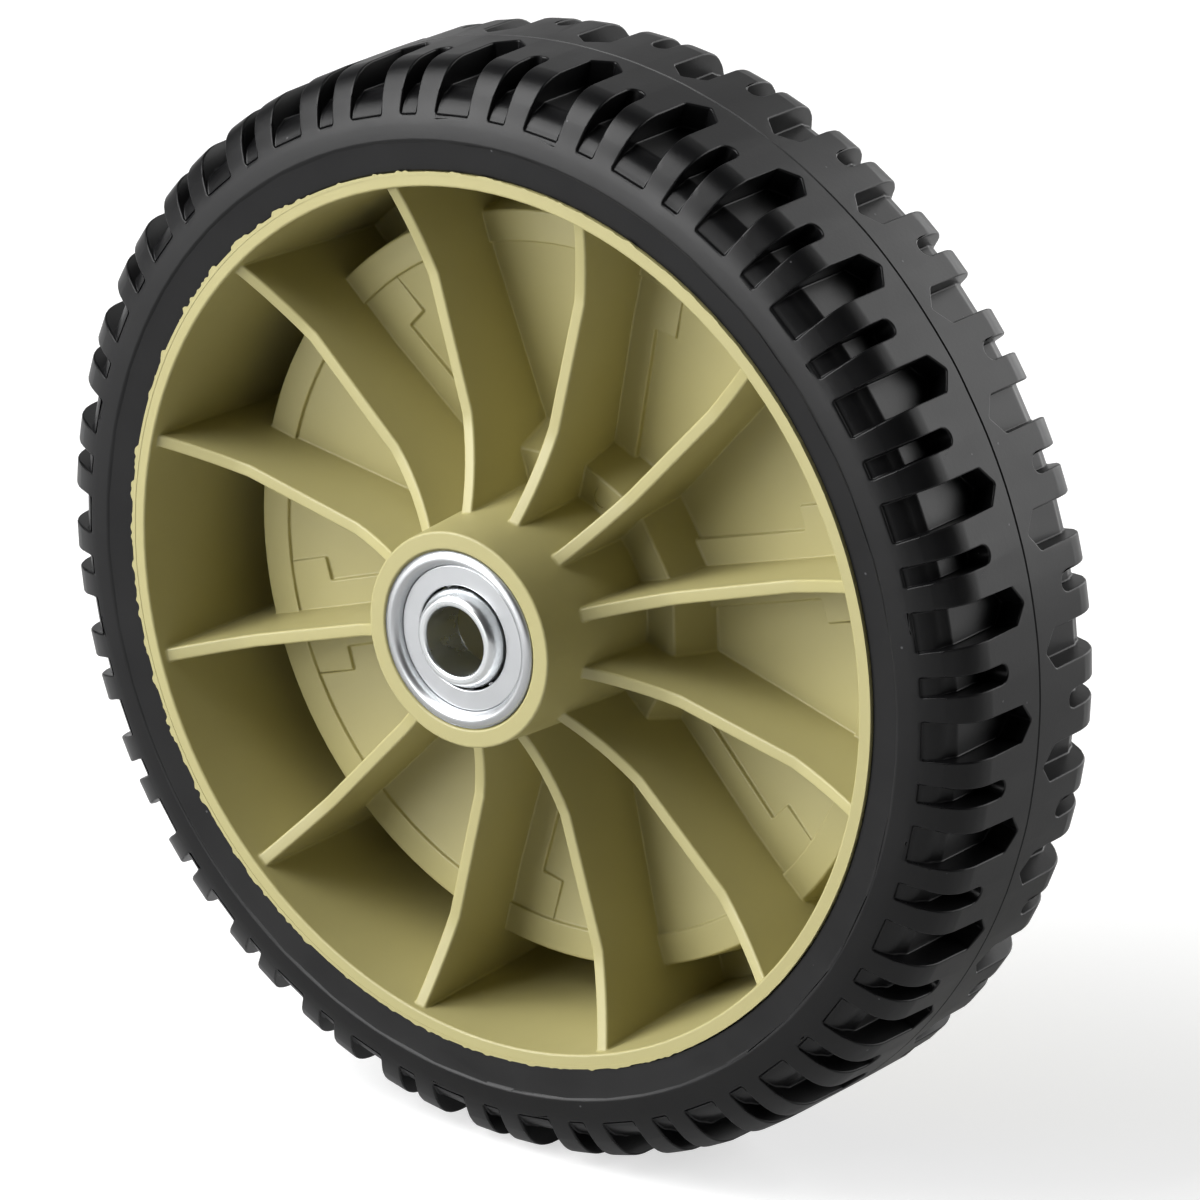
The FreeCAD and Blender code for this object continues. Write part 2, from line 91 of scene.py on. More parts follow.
class Slot(Enum):
    """Material slots of the record."""

    PLASTIC = "olive_polypropylene"
    RUBBER = "black_rubber"
    PLATED = "zinc_plated_steel"
    TURNED = "bright_turned_steel"


def linear(code: str) -> tuple[float, float, float, float]:
    """Turns an sRGB hex colour to linear light.

    Args:
        code: Six hex digits after a hash sign.

    Returns:
        Red, green and blue in linear light, and an alpha of one.
    """
    channels = []
    for start in (1, 3, 5):
        value = int(code[start:start + 2], 16) / 255
        channels.append(value / 12.92 if value <= 0.04045 else ((value + 0.055) / 1.055) ** 2.4)
    return channels[0], channels[1], channels[2], 1.0


def add_node(
    tree: bpy.types.NodeTree,
    kind: str,
    settings: dict[str | int, object] | None = None,
    links: dict[str | int, bpy.types.NodeSocket] | None = None,
) -> bpy.types.Node:
    """Adds a node with its settings and links.

    Args:
        tree: Node tree that takes the node.
        kind: Blender's name for the type of node.
        settings: Values by property, or by the name or number of an input socket.
        links: Output sockets by the name or number of the input socket that they feed.

    Returns:
        The new node.
    """
    node = tree.nodes.new(kind)
    for key, value in (settings or {}).items():
        if isinstance(key, str) and hasattr(node, key):
            setattr(node, key, value)
        else:
            node.inputs[key].default_value = value
    for key, socket in (links or {}).items():
        tree.links.new(socket, node.inputs[key])
    return node


def start_material(name: str) -> tuple[bpy.types.Material, bpy.types.NodeTree, bpy.types.Node]:
    """Starts a material that has only a Principled shader.

    Args:
        name: Name of the real material.

    Returns:
        The material, its node tree and its shader.
    """
    material = bpy.data.materials.new(name)
    material.use_nodes = True
    tree = material.node_tree
    tree.nodes.clear()
    shader = add_node(tree, "ShaderNodeBsdfPrincipled")
    add_node(tree, "ShaderNodeOutputMaterial", links={"Surface": shader.outputs["BSDF"]})
    return material, tree, shader


def per_metre(millimetres: float) -> float:
    """Turns the width of a pattern's features to a texture scale."""
    return 1.0 / (millimetres * MM)


def vary_gloss(
    tree: bpy.types.NodeTree, shader: bpy.types.Node, clouds: bpy.types.NodeSocket, low: float, high: float
) -> None:
    """Lets a shader's roughness follow a cloud pattern.

    Args:
        tree: Node tree of the material.
        shader: Shader of the material.
        clouds: The pattern.
        low: Roughness where the pattern is low.
        high: Roughness where the pattern is high.
    """
    gloss = add_node(
        tree,
        "ShaderNodeMapRange",
        {"From Min": NOISE_LOW, "From Max": NOISE_HIGH, "To Min": low, "To Max": high},
        {"Value": clouds},
    )
    tree.links.new(gloss.outputs["Result"], shader.inputs["Roughness"])


def emboss(
    tree: bpy.types.NodeTree,
    shader: bpy.types.Node,
    height: bpy.types.NodeSocket,
    strength: float,
    depth_mm: float,
) -> None:
    """Gives a shader a fine relief.

    Args:
        tree: Node tree of the material.
        shader: Shader of the material.
        height: Pattern of the relief.
        strength: Share of the relief that shows.
        depth_mm: Depth of the relief.
    """
    bump = add_node(
        tree, "ShaderNodeBump", {"Strength": strength, "Distance": depth_mm * MM}, {"Height": height}
    )
    tree.links.new(bump.outputs["Normal"], shader.inputs["Normal"])


@dataclass(frozen=True)
class Moulded:
    """A moulded finish: two near colours in soft clouds, a fine grain, uneven gloss and sparse dust."""

    name: str
    colour: str
    cloud_colour: str
    cloud_mm: float
    grain_mm: float
    grain_depth_mm: float
    grain_strength: float
    roughness_low: float
    roughness_high: float
    ior: float
    speck_colour: str | None = None
    speck_mm: float = 0.0
    speck_apart_mm: float = 1.0

    def material(self) -> bpy.types.Material:
        """Makes the material."""
        material, tree, shader = start_material(self.name)
        shader.inputs["IOR"].default_value = self.ior
        place = add_node(tree, "ShaderNodeTexCoord").outputs["Object"]
        clouds = add_node(
            tree,
            "ShaderNodeTexNoise",
            {"Scale": per_metre(self.cloud_mm), "Detail": 3.0, "Roughness": 0.55},
            {"Vector": place},
        )
        tint = add_node(
            tree,
            "ShaderNodeMix",
            {"data_type": "RGBA", MIX_A: linear(self.colour), MIX_B: linear(self.cloud_colour)},
            {MIX_FACTOR: clouds.outputs["Fac"]},
        )
        colour = tint.outputs[MIX_COLOUR]
        if self.speck_colour:
            colour = self.dust(tree, place, colour)
        tree.links.new(colour, shader.inputs["Base Color"])
        vary_gloss(tree, shader, clouds.outputs["Fac"], self.roughness_low, self.roughness_high)
        grain = add_node(
            tree,
            "ShaderNodeTexNoise",
            {"Scale": per_metre(self.grain_mm), "Detail": 2.0},
            {"Vector": place},
        )
        emboss(tree, shader, grain.outputs["Fac"], self.grain_strength, self.grain_depth_mm)
        return material

    def dust(
        self, tree: bpy.types.NodeTree, place: bpy.types.NodeSocket, colour: bpy.types.NodeSocket
    ) -> bpy.types.NodeSocket:
        """Adds sparse specks of dust, at most one to a cell.

        Args:
            tree: Node tree of the material.
            place: Object coordinates.
            colour: Colour under the dust.

        Returns:
            The colour with the dust on it.
        """
        cells = add_node(
            tree, "ShaderNodeTexVoronoi", {"Scale": per_metre(self.speck_apart_mm)}, {"Vector": place}
        )
        size = self.speck_mm / (2 * self.speck_apart_mm)
        speck = add_node(
            tree, "ShaderNodeMath", {"operation": "LESS_THAN", 1: size}, {0: cells.outputs["Distance"]}
        )
        dusty = add_node(
            tree,
            "ShaderNodeMix",
            {"data_type": "RGBA", MIX_B: linear(self.speck_colour)},
            {MIX_FACTOR: speck.outputs["Value"], MIX_A: colour},
        )
        return dusty.outputs[MIX_COLOUR]


@dataclass(frozen=True)
class Steel:
    """A steel finish: an even metal whose gloss is clouded, with fine lines round the axle."""

    name: str
    colour: str
    cloud_mm: float
    roughness_low: float
    roughness_high: float
    line_mm: float
    line_depth_mm: float
    line_strength: float = 0.3

    def material(self) -> bpy.types.Material:
        """Makes the material."""
        material, tree, shader = start_material(self.name)
        shader.inputs["Base Color"].default_value = linear(self.colour)
        shader.inputs["Metallic"].default_value = 1.0
        place = add_node(tree, "ShaderNodeTexCoord").outputs["Object"]
        clouds = add_node(
            tree,
            "ShaderNodeTexNoise",
            {"Scale": per_metre(self.cloud_mm), "Detail": 4.0, "Roughness": 0.6},
            {"Vector": place},
        )
        vary_gloss(tree, shader, clouds.outputs["Fac"], self.roughness_low, self.roughness_high)
        lines = add_node(
            tree,
            "ShaderNodeTexWave",
            {
                "wave_type": "RINGS",
                "rings_direction": "Y",
                "Scale": per_metre(self.line_mm) / (2 * math.pi),
                "Distortion": 0.6,
            },
            {"Vector": place},
        )
        emboss(tree, shader, lines.outputs["Fac"], self.line_strength, self.line_depth_mm)
        return material


# Polypropylene, injection moulded: opaque olive, satin, with soft flow clouds and the tool's fine grain.
OLIVE_POLYPROPYLENE = Moulded(
    name="olive_polypropylene_moulded",
    colour="#aba471",
    cloud_colour="#a59d6a",
    cloud_mm=26.0,
    grain_mm=0.55,
    grain_depth_mm=0.03,
    grain_strength=0.25,
    roughness_low=0.42,
    roughness_high=0.54,
    ior=1.6,
)

# Filled rubber, compression moulded: near black, satin, so it shows the studio as soft grey sheen.
BLACK_RUBBER = Moulded(
    name="black_rubber_moulded",
    colour="#0b0b0c",
    cloud_colour="#0f0f10",
    cloud_mm=14.0,
    grain_mm=0.7,
    grain_depth_mm=0.04,
    grain_strength=0.25,
    roughness_low=0.32,
    roughness_high=0.4,
    ior=1.36,
    speck_colour="#4a4a4c",
    speck_mm=0.45,
    speck_apart_mm=7.0,
)

# Sheet steel, pressed and zinc plated: pale, even and half bright.
ZINC_PLATED_STEEL = Steel(
    name="zinc_plated_steel_pressed",
    colour="#c8cacc",
    cloud_mm=7.0,
    roughness_low=0.34,
    roughness_high=0.4,
    line_mm=0.5,
    line_depth_mm=0.0005,
)

# Steel turned on a lathe: bright, with fine lines round the axle.
BRIGHT_TURNED_STEEL = Steel(
    name="bright_steel_turned",
    colour="#e6e9ea",
    cloud_mm=6.0,
    roughness_low=0.26,
    roughness_high=0.32,
    line_mm=0.35,
    line_depth_mm=0.0004,
)

# Bearing steel, hardened and ground: dark bright metal, hidden behind the shields.
HARDENED_STEEL = Steel(
    name="hardened_steel_ground",
    colour="#a9abad",
    cloud_mm=2.0,
    roughness_low=0.12,
    roughness_high=0.2,
    line_mm=0.3,
    line_depth_mm=0.001,
)


def pick(piece: bpy.types.Object) -> None:
    """Makes one object the active one and the only one selected."""
    bpy.ops.object.select_all(action="DESELECT")
    piece.select_set(True)
    bpy.context.view_layer.objects.active = piece


def dress(piece: bpy.types.Object, material: bpy.types.Material) -> None:
    """Gives a piece one material all over."""
    piece.data.materials.clear()
    piece.data.materials.append(material)


def merged_copy(node: bpy.types.Object, name: str) -> bpy.types.Object:
    """Copies a node as a new piece, with its loose triangles joined to whole faces.

    Args:
        node: Node of the frame, which is left as it is.
        name: Name of the new piece.

    Returns:
        The new piece.
    """
    piece = bpy.data.objects.new(name, node.data.copy())
    bpy.context.scene.collection.objects.link(piece)
    pick(piece)
    bpy.ops.mesh.customdata_custom_splitnormals_clear()
    bpy.ops.object.mode_set(mode="EDIT")
    bpy.ops.mesh.select_all(action="SELECT")
    bpy.ops.mesh.remove_doubles(threshold=WELD_MM * MM)
    bpy.ops.mesh.dissolve_limited(angle_limit=math.radians(FLAT_ANGLE))
    bpy.ops.object.mode_set(mode="OBJECT")
    return piece


def round_edges(
    piece: bpy.types.Object,
    width_mm: float,
    segments: int,
    sharp_angle: float,
    share: Callable[[Vector], float] = lambda place: 1.0,
) -> None:
    """Rounds the sharp edges of a piece.

    Args:
        piece: Piece to finish.
        width_mm: Full width of the rounding.
        segments: Steps across the rounding.
        sharp_angle: Edges that turn by more than this, in degrees, are rounded.
        share: Share of the width that an edge gets, by its place.
    """
    pick(piece)
    bpy.ops.object.mode_set(mode="EDIT")
    bpy.ops.mesh.select_mode(type="EDGE")
    bpy.ops.mesh.select_all(action="DESELECT")
    bpy.ops.mesh.edges_select_sharp(sharpness=math.radians(sharp_angle))
    bpy.ops.object.mode_set(mode="OBJECT")
    points = piece.data.vertices
    weights = piece.data.attributes.new("bevel_weight_edge", "FLOAT", "EDGE")
    for edge in piece.data.edges:
        if edge.select:
            first, second = edge.vertices
            weights.data[edge.index].value = share((points[first].co + points[second].co) / 2)
    bevel = piece.modifiers.new("rounding", "BEVEL")
    bevel.width = width_mm * MM
    bevel.segments = segments
    bevel.limit_method = "WEIGHT"
    bevel.use_clamp_overlap = False
    bevel.miter_outer = "MITER_ARC"
    bpy.ops.object.modifier_apply(modifier=bevel.name)


def shade_evenly(piece: bpy.types.Object, sharp_angle: float) -> None:
    """Shades a piece smooth, with its large faces kept flat.

    Args:
        piece: Piece to shade.
        sharp_angle: Edges that turn by more than this, in degrees, stay sharp.
    """
    pick(piece)
    bpy.ops.object.shade_smooth_by_angle(angle=math.radians(sharp_angle))
    even = piece.modifiers.new("even_shading", "WEIGHTED_NORMAL")
    even.keep_sharp = True
    bpy.ops.object.modifier_apply(modifier=even.name)


def radius_of(place: Vector) -> float:
    """Distance of a place from the axle."""
    return math.hypot(place.x, place.z)


@dataclass
class MouldedWheel:
    """The ribbed wheel, moulded in one piece, and the thin flash round its rim."""

    rounding_mm: float = 0.45
    round_steps: int = 3
    sharp_angle: float = 25.0
    shade_angle: float = 40.0
    # the low steps and strips of the web, whose edges are rounded less
    web_share: float = 0.75
    web_inside_mm: float = 34.0
    web_outside_mm: float = 68.0
    web_top_mm: float = -8.0
    # the web's dished floor in the solid, and how far it is lifted
    floor_radius_mm: float = 64.4
    floor_level_mm: float = 0.3
    floor_slope: float = 0.0965
    floor_reach_mm: float = 0.2
    floor_lift_mm: float = 0.6
    # the rim's outboard edge and the flash along it
    rim_radius_mm: float = 82.4
    rim_face_mm: float = -23.4
    flash_steps: int = 1600
    flash_reach_mm: float = 0.75
    flash_thickness_mm: float = 0.14
    flash_bite_mm: float = 0.5
    flash_least: float = 0.15
    ragged_waves: float = 24.0
    ragged_seed: float = 3.1
    ragged_share: float = 1.6
    fine_waves: float = 70.0
    fine_seed: float = 7.7
    fine_share: float = 1.1
    # the ejector pin's mark on the boss
    mark_place_mm: tuple[float, float, float] = (11.36, -5.9, 21.37)
    mark_radius_mm: float = 1.9
    mark_steps: int = 48
    mark_depth_mm: float = 0.25

    def build(self, frame: dict) -> list[bpy.types.Object]:
        """Builds and dresses the moulding.

        Args:
            frame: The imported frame.

        Returns:
            The new pieces.
        """
        plastic = OLIVE_POLYPROPYLENE.material()
        moulding = merged_copy(frame["nodes"]["moulded_wheel"], "wheel_moulding")
        self.lift_floor(moulding)
        round_edges(moulding, self.rounding_mm, self.round_steps, self.sharp_angle, self.rounding_share)
        self.press_mark(moulding)
        shade_evenly(moulding, self.shade_angle)
        dress(moulding, plastic)
        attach(moulding, "wheel")
        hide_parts("moulded_wheel")
        flash = self.draw_flash()
        dress(flash, plastic)
        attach(flash, "wheel")
        return [moulding, flash]

    def rounding_share(self, place: Vector) -> float:
        """Share of the rounding at a place: less on the low steps and strips of the web, whole elsewhere."""
        beside_hub = self.web_inside_mm < radius_of(place) / MM < self.web_outside_mm
        on_web = beside_hub and place.y / MM > self.web_top_mm
        return self.web_share if on_web else 1.0

    def lift_floor(self, moulding: bpy.types.Object) -> None:
        """Lifts the web's dished floor a little, so that its steps and strips stand as low as they look.

        Args:
            moulding: The wheel, which is changed in place.
        """
        for point in moulding.data.vertices:
            inward = self.floor_radius_mm - radius_of(point.co) / MM
            level = self.floor_level_mm + inward * self.floor_slope
            if inward > -self.floor_reach_mm and abs(point.co.y / MM - level) < self.floor_reach_mm:
                point.co.y -= self.floor_lift_mm * MM

    def press_mark(self, moulding: bpy.types.Object) -> None:
        """Sinks the round mark that an ejector pin left on the boss.

        Args:
            moulding: The wheel, which is changed in place.
        """
        bpy.ops.object.select_all(action="DESELECT")
        bpy.ops.mesh.primitive_cylinder_add(
            vertices=self.mark_steps,
            radius=self.mark_radius_mm * MM,
            depth=2 * self.mark_depth_mm * MM,
            location=Vector(self.mark_place_mm) * MM,
            rotation=(math.radians(90.0), 0.0, 0.0),
        )
        pin = bpy.context.active_object
        pick(moulding)
        cut = moulding.modifiers.new("pin_mark", "BOOLEAN")
        cut.operation = "DIFFERENCE"
        cut.object = pin
        bpy.ops.object.modifier_apply(modifier=cut.name)
        bpy.data.objects.remove(pin)

    @staticmethod
    def noise_round(turn: float, waves: float, seed: float) -> float:
        """Noise along a circle, at an angle."""
        return noise.noise(Vector((waves * math.cos(turn), waves * math.sin(turn), seed)))

    def flash_reach(self, turn: float) -> float:
        """How far the flash stands out of the rim at an angle, in millimetres."""
        side = 0.5 - 0.5 * math.cos(turn)
        ragged = self.noise_round(turn, self.ragged_waves, self.ragged_seed)
        fine = self.noise_round(turn, self.fine_waves, self.fine_seed)
        share = side * (self.flash_least + max(0.0, self.ragged_share * ragged + self.fine_share * fine))
        return self.flash_reach_mm * min(1.0, share)

    def draw_flash(self) -> bpy.types.Object:
        """Draws the ragged film of plastic that was squeezed out along the rim's outboard edge.

        Returns:
            The flash, as a thin closed ring.
        """
        bpy.ops.object.select_all(action="DESELECT")
        bpy.ops.mesh.primitive_circle_add(
            vertices=self.flash_steps,
            radius=(self.rim_radius_mm - self.flash_bite_mm) * MM,
            location=(0.0, self.rim_face_mm * MM, 0.0),
            rotation=(math.radians(90.0), 0.0, 0.0),
        )
        flash = bpy.context.active_object
        flash.name = "rim_flash"
        bpy.ops.object.transform_apply(location=True, rotation=True, scale=True)
        bpy.ops.object.mode_set(mode="EDIT")
        bpy.ops.mesh.select_all(action="SELECT")
        bpy.ops.mesh.extrude_region()
        bpy.ops.object.mode_set(mode="OBJECT")
        for point in flash.data.vertices:
            if point.select:
                turn = math.atan2(point.co.z, point.co.x)
                radius = (self.rim_radius_mm + self.flash_reach(turn)) * MM
                point.co.x = radius * math.cos(turn)
                point.co.z = radius * math.sin(turn)
        solid = flash.modifiers.new("film", "SOLIDIFY")
        solid.thickness = self.flash_thickness_mm * MM
        solid.offset = 0.0
        bpy.ops.object.modifier_apply(modifier=solid.name)
        bpy.ops.object.mode_set(mode="EDIT")
        bpy.ops.mesh.select_all(action="SELECT")
        bpy.ops.mesh.normals_make_consistent(inside=False)
        bpy.ops.object.mode_set(mode="OBJECT")
        bpy.ops.object.shade_smooth_by_angle(angle=math.radians(self.shade_angle))
        return flash


@dataclass
class Tyre:
    """The solid lugged tyre, with the line that its mould left round the crown."""

    rounding_mm: float = 0.35
    round_steps: int = 3
    sharp_angle: float = 30.0
    shade_angle: float = 40.0
    # outline of the solid: crown, two chords over the shoulder and belly
    crown_radius_mm: float = 101.6
    crown_edge_mm: float = 16.6
    shoulder_radius_mm: float = 96.78
    shoulder_mm: float = 21.32
    belly_radius_mm: float = 90.5
    belly_mm: float = 23.8
    # round of the real shoulder, how softly it leaves the crown and how deep under the skin it still acts
    curve_mm: float = 17.0
    curve_centre_radius_mm: float = 87.70
    curve_centre_mm: float = 6.81
    soft_edge_mm: float = 3.0
    skin_mm: float = 3.0
    reach_mm: float = 0.05
    ring_start_mm: float = 13.6
    edge_steps: int = 4
    curve_steps: int = 12
    # sloped floor of a recess in the solid, and how far it is lifted
    slope_start_mm: float = 17.7
    slope_start_radius_mm: float = 96.7
    slope_end_mm: float = 22.15
    slope_end_radius_mm: float = 93.5
    foot_lift_mm: float = 0.7
    floor_reach_mm: float = 0.12
    # parting line
    line_width_mm: float = 0.5
    line_depth_mm: float = 0.35
    line_slack: float = 1.01
    line_wander_mm: float = 0.15
    wander_every_mm: float = 9.0

    def build(self, frame: dict) -> list[bpy.types.Object]:
        """Builds and dresses the tyre.

        Args:
            frame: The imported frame.

        Returns:
            The new pieces.
        """
        rubber = BLACK_RUBBER.material()
        tyre = merged_copy(frame["nodes"]["tyre"], "tyre_moulding")
        self.slice_rings(tyre)
        self.lift_feet(tyre)
        self.round_shoulders(tyre)
        round_edges(tyre, self.rounding_mm, self.round_steps, self.sharp_angle)
        self.sink_line(tyre)
        shade_evenly(tyre, self.shade_angle)
        dress(tyre, rubber)
        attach(tyre, "wheel")
        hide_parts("tyre")
        return [tyre]

    def slice_rings(self, tyre: bpy.types.Object) -> None:
        """Cuts rings of new points round the shoulders and along the parting line.

        Args:
            tyre: The tyre, which is changed in place.
        """
        half_line = self.line_width_mm / 2
        heights = [-half_line, 0.0, half_line]
        for step in range(self.edge_steps):
            height = self.ring_start_mm + (self.crown_edge_mm - self.ring_start_mm) * step / self.edge_steps
            heights += [-height, height]
        first = math.asin((self.crown_edge_mm - self.curve_centre_mm) / self.curve_mm)
        last = math.asin((self.belly_mm - self.curve_centre_mm) / self.curve_mm)
        for step in range(1, self.curve_steps):
            turn = first + (last - first) * step / self.curve_steps
            height = self.curve_centre_mm + self.curve_mm * math.sin(turn)
            heights += [-height, height]
        pick(tyre)
        bpy.ops.object.mode_set(mode="EDIT")
        for height in heights:
            bpy.ops.mesh.select_all(action="SELECT")
            bpy.ops.mesh.bisect(plane_co=(0.0, height * MM, 0.0), plane_no=(0.0, 1.0, 0.0))
        bpy.ops.object.mode_set(mode="OBJECT")

    def lift_feet(self, tyre: bpy.types.Object) -> None:
        """Rounds the sloped floor of each recess, so that it ends in a broad step at the sidewall.

        Args:
            tyre: The tyre, which is changed in place.
        """
        for point in tyre.data.vertices:
            run = (abs(point.co.y) / MM - self.slope_start_mm) / (self.slope_end_mm - self.slope_start_mm)
            if not 0.0 < run < 1.0:
                continue
            radius = radius_of(point.co) / MM
            floor = self.slope_start_radius_mm + (self.slope_end_radius_mm - self.slope_start_radius_mm) * run
            if abs(radius - floor) > self.floor_reach_mm:
                continue
            scale = 1.0 + self.foot_lift_mm * math.sin(math.pi * run * run) / radius
            point.co.x *= scale
            point.co.z *= scale

    def solid_radius(self, height: float) -> float:
        """Radius of the solid's outline at a distance from the middle plane, both in millimetres."""
        if height <= self.crown_edge_mm:
            return self.crown_radius_mm
        if height <= self.shoulder_mm:
            share = (height - self.crown_edge_mm) / (self.shoulder_mm - self.crown_edge_mm)
            return self.crown_radius_mm + share * (self.shoulder_radius_mm - self.crown_radius_mm)
        share = (height - self.shoulder_mm) / (self.belly_mm - self.shoulder_mm)
        return self.shoulder_radius_mm + share * (self.belly_radius_mm - self.shoulder_radius_mm)

    def round_radius(self, height: float) -> float:
        """Radius of the rounded outline at a distance from the middle plane, both in millimetres."""
        run = height - self.curve_centre_mm
        curve = self.curve_centre_radius_mm + math.sqrt(max(0.0, self.curve_mm ** 2 - run ** 2))
        blend = min(1.0, max(0.0, 0.5 + 0.5 * (curve - self.crown_radius_mm) / self.soft_edge_mm))
        return curve + (self.crown_radius_mm - curve) * blend - self.soft_edge_mm * blend * (1.0 - blend)

    def round_shoulders(self, tyre: bpy.types.Object) -> None:
        """Lifts the skin of the lugs from the flat chords of the solid to the round of the real shoulder.

        Args:
            tyre: The tyre, which is changed in place.
        """
        for point in tyre.data.vertices:
            height = abs(point.co.y) / MM
            radius = radius_of(point.co) / MM
            if height < self.ring_start_mm or radius < self.belly_radius_mm - self.reach_mm:
                continue
            chord = self.solid_radius(height)
            share = max(0.0, 1.0 - (chord - radius) / self.skin_mm)
            scale = 1.0 + share * (self.round_radius(height) - chord) / radius
            point.co.x *= scale
            point.co.z *= scale

    def sink_line(self, tyre: bpy.types.Object) -> None:
        """Sinks the mould's parting line, which wanders a little, round the middle of the crown.

        Args:
            tyre: The tyre, which is changed in place.
        """
        half = self.line_width_mm * MM / 2
        crown = (self.crown_radius_mm - self.line_depth_mm) * MM
        sink = 1.0 - self.line_depth_mm / self.crown_radius_mm
        for point in tyre.data.vertices:
            if abs(point.co.y) > half * self.line_slack or radius_of(point.co) < crown:
                continue
            if abs(point.co.y) < half / 2:
                point.co.x *= sink
                point.co.z *= sink
            wander = noise.noise(Vector((point.co.x, 0.0, point.co.z)) / (self.wander_every_mm * MM))
            point.co.y += wander * self.line_wander_mm * MM


@dataclass
class Bearing:
    """The flanged ball bearing at one end of the hub."""

    end: End
    lip_round_mm: float = 0.62
    shield_round_mm: float = 0.25
    ring_round_mm: float = 0.28
    round_steps: int = 6
    sharp_angle: float = 25.0
    shade_angle: float = 45.0

    def build(
        self,
        frame: dict,
        plated: bpy.types.Material,
        turned: bpy.types.Material,
        hardened: bpy.types.Material,
    ) -> list[bpy.types.Object]:
        """Builds and dresses the pieces of the bearing.

        Args:
            frame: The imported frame.
            plated: Finish of the shell and the shield.
            turned: Finish of the inner ring.
            hardened: Finish of the race and the balls.

        Returns:
            The new pieces.
        """
        side = self.end.value
        made = []
        for part, body, rounding, material, slot in (
            ("bearing_shell", "wheel", self.lip_round_mm, plated, Slot.PLATED),
            ("bearing_shield", "wheel", self.shield_round_mm, plated, Slot.PLATED),
            ("inner_ring", "axle_rings", self.ring_round_mm, turned, Slot.TURNED),
        ):
            node = f"{side}_{part}"
            piece = merged_copy(frame["nodes"][node], f"{node}_finished")
            round_edges(piece, rounding, self.round_steps, self.sharp_angle)
            shade_evenly(piece, self.shade_angle)
            dress(piece, material)
            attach(piece, body)
            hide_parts(node)
            made.append(piece)
        for part in ("race_front_half", "race_back_half", "ball_set"):
            dress(frame["nodes"][f"{side}_{part}"], hardened)
        return made


@dataclass(frozen=True)
class Stretch:
    """A stretch along Y over which the brightness that gloss and metal see grows from nothing to a level."""

    start: float
    end: float
    level: float


def shown_level(
    tree: bpy.types.NodeTree, depth: bpy.types.NodeSocket, stretches: tuple[Stretch, ...]
) -> bpy.types.NodeSocket:
    """Gives one for the camera, and for gloss, metal and glass a level that changes along Y.

    Args:
        tree: Node tree that takes the nodes.
        depth: Place or direction along Y.
        stretches: Where the level grows, and to what.

    Returns:
        The socket that holds the level, which is nothing for light that falls.
    """
    rays = add_node(tree, "ShaderNodeLightPath")
    mirrored = add_node(
        tree,
        "ShaderNodeMath",
        {"operation": "MAXIMUM"},
        {0: rays.outputs["Is Glossy Ray"], 1: rays.outputs["Is Transmission Ray"]},
    )
    level = rays.outputs["Is Camera Ray"]
    for stretch in stretches:
        share = add_node(
            tree,
            "ShaderNodeMapRange",
            {"From Min": stretch.start, "From Max": stretch.end, "To Max": stretch.level},
            {"Value": depth},
        )
        seen = add_node(
            tree,
            "ShaderNodeMath",
            {"operation": "MULTIPLY"},
            {0: mirrored.outputs["Value"], 1: share.outputs["Result"]},
        )
        level = add_node(
            tree, "ShaderNodeMath", {"operation": "MAXIMUM"}, {0: level, 1: seen.outputs["Value"]}
        ).outputs["Value"]
    return level


def depth_of(tree: bpy.types.NodeTree, place: str) -> bpy.types.NodeSocket:
    """Gives the Y part of one of the texture coordinates."""
    where = add_node(tree, "ShaderNodeTexCoord").outputs[place]
    return add_node(tree, "ShaderNodeSeparateXYZ", links={"Vector": where}).outputs["Y"]


@dataclass(frozen=True)
class Lamp:
    """A soft lamp: where it hangs, how large it is and how bright."""

    name: str
    place: tuple[float, float, float]
    width: float
    height: float
    power: float

    def hang(self, target: Vector) -> None:
        """Hangs the lamp and turns it to a point."""
        data = bpy.data.lights.new(self.name, "AREA")
        data.shape = "RECTANGLE"
        data.size = self.width
        data.size_y = self.height
        data.energy = self.power
        lamp = bpy.data.objects.new(self.name, data)
        lamp.location = self.place
        lamp.rotation_euler = (target - Vector(self.place)).to_track_quat("-Z", "Y").to_euler()
        bpy.context.scene.collection.objects.link(lamp)


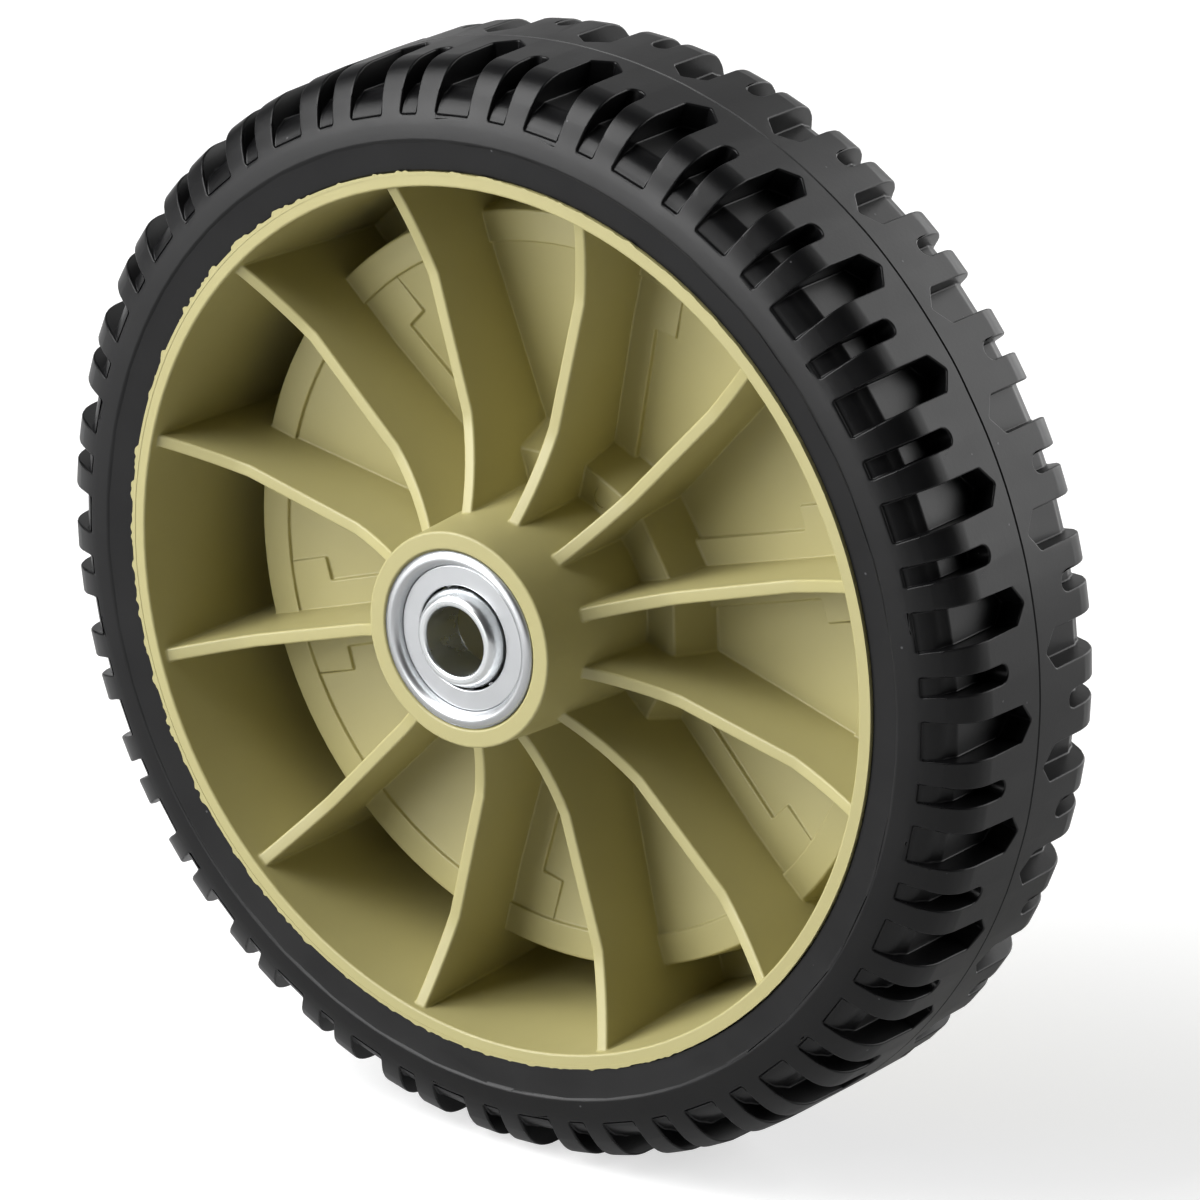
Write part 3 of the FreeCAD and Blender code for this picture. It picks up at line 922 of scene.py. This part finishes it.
@dataclass
class Studio:
    """Pale floor, soft lamps and the camera."""

    floor_level: float = -0.1016
    floor_size: float = 12.0
    camera_place: tuple[float, float, float] = (0.96323, -1.26386, 0.57198)
    camera_tilt: float = 70.14
    camera_turn: float = 37.13
    camera_lens: float = 283.45
    sensor_width: float = 36.0
    floor_colour: str = "#c4c4c4"
    world_light: float = 0.02
    floor_glow: float = 0.62
    fade_start: float = 0.3
    fade_end: float = 1.2
    world_stretches: tuple[Stretch, ...] = (Stretch(0.3, 1.15, 1.0),)
    floor_stretches: tuple[Stretch, ...] = (Stretch(-0.1, 0.5, 1.0), Stretch(-0.4, -1.0, 0.8))
    lamps: tuple[Lamp, ...] = (
        Lamp("left_lamp", (-1.4, -0.9, 1.2), 1.4, 1.4, 24.0),
        Lamp("front_lamp", (-0.9, -1.5, 0.37), 1.4, 0.84, 26.0),
        Lamp("top_lamp", (-0.65, -1.15, 1.6), 1.2, 1.2, 27.0),
        Lamp("back_right_lamp", (0.75, 1.42, 0.6), 2.2, 1.4, 24.0),
    )

    def build(self) -> None:
        """Sets the camera, the lamps, the floor and the world."""
        self.set_camera()
        for lamp in self.lamps:
            lamp.hang(Vector((0.0, 0.0, 0.0)))
        self.lay_floor()
        self.light_world()
        bpy.context.scene.view_settings.view_transform = "Standard"

    def set_camera(self) -> None:
        """Sets the camera where the photograph was taken from."""
        data = bpy.data.cameras.new("camera")
        data.lens = self.camera_lens
        data.sensor_width = self.sensor_width
        camera = bpy.data.objects.new("camera", data)
        camera.location = self.camera_place
        camera.rotation_euler = (math.radians(self.camera_tilt), 0.0, math.radians(self.camera_turn))
        bpy.context.scene.collection.objects.link(camera)
        bpy.context.scene.camera = camera

    def lay_floor(self) -> None:
        """Lays the pale floor, which shows white where no shadow falls."""
        bpy.ops.object.select_all(action="DESELECT")
        bpy.ops.mesh.primitive_plane_add(size=self.floor_size, location=(0.0, 0.0, self.floor_level))
        floor = bpy.context.active_object
        floor.name = "floor"
        material = bpy.data.materials.new("pale_floor")
        material.use_nodes = True
        tree = material.node_tree
        tree.nodes.clear()
        matt = add_node(tree, "ShaderNodeBsdfDiffuse", {"Color": linear(self.floor_colour)})
        level = shown_level(tree, depth_of(tree, "Object"), self.floor_stretches)
        near = add_node(tree, "ShaderNodeMath", {"operation": "MULTIPLY", 1: self.floor_glow}, {0: level})
        place = add_node(tree, "ShaderNodeTexCoord")
        away = add_node(tree, "ShaderNodeVectorMath", {"operation": "LENGTH"}, {0: place.outputs["Object"]})
        fade = add_node(
            tree,
            "ShaderNodeMapRange",
            {"From Min": self.fade_start, "From Max": self.fade_end},
            {"Value": away.outputs["Value"]},
        )
        rays = add_node(tree, "ShaderNodeLightPath")
        far = add_node(
            tree,
            "ShaderNodeMath",
            {"operation": "MULTIPLY"},
            {0: fade.outputs["Result"], 1: rays.outputs["Is Camera Ray"]},
        )
        strength = add_node(
            tree,
            "ShaderNodeMath",
            {"operation": "MAXIMUM"},
            {0: near.outputs["Value"], 1: far.outputs["Value"]},
        )
        glow = add_node(
            tree, "ShaderNodeEmission", {"Color": linear(WHITE)}, {"Strength": strength.outputs["Value"]}
        )
        both = add_node(
            tree, "ShaderNodeAddShader", links={0: matt.outputs["BSDF"], 1: glow.outputs["Emission"]}
        )
        add_node(tree, "ShaderNodeOutputMaterial", links={"Surface": both.outputs["Shader"]})
        dress(floor, material)

    def light_world(self) -> None:
        """Fills the studio with even light, and shows a white backdrop and the darker room in front of it."""
        world = bpy.data.worlds.new("studio")
        bpy.context.scene.world = world
        world.use_nodes = True
        tree = world.node_tree
        tree.nodes.clear()
        level = shown_level(tree, depth_of(tree, "Generated"), self.world_stretches)
        strength = add_node(tree, "ShaderNodeMath", {"operation": "MAXIMUM", 1: self.world_light}, {0: level})
        light = add_node(
            tree, "ShaderNodeBackground", {"Color": linear(WHITE)}, {"Strength": strength.outputs["Value"]}
        )
        add_node(tree, "ShaderNodeOutputWorld", links={"Surface": light.outputs["Background"]})


def clear_scene() -> None:
    """Removes what a new Blender file holds."""
    for item in list(bpy.data.objects):
        bpy.data.objects.remove(item)


def main() -> None:
    """Builds the looks round the frame, sub-assembly by sub-assembly."""
    logging.basicConfig(level=logging.INFO)
    clear_scene()
    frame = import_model()
    plated = ZINC_PLATED_STEEL.material()
    turned = BRIGHT_TURNED_STEEL.material()
    hardened = HARDENED_STEEL.material()
    pieces = MouldedWheel().build(frame)
    pieces += Tyre().build(frame)
    for end in End:
        pieces += Bearing(end).build(frame, plated, turned, hardened)
    for piece in pieces:
        LOG.info("%s: %d faces", piece.name, len(piece.data.polygons))
    Studio().build()


if __name__ == "__main__":
    main()
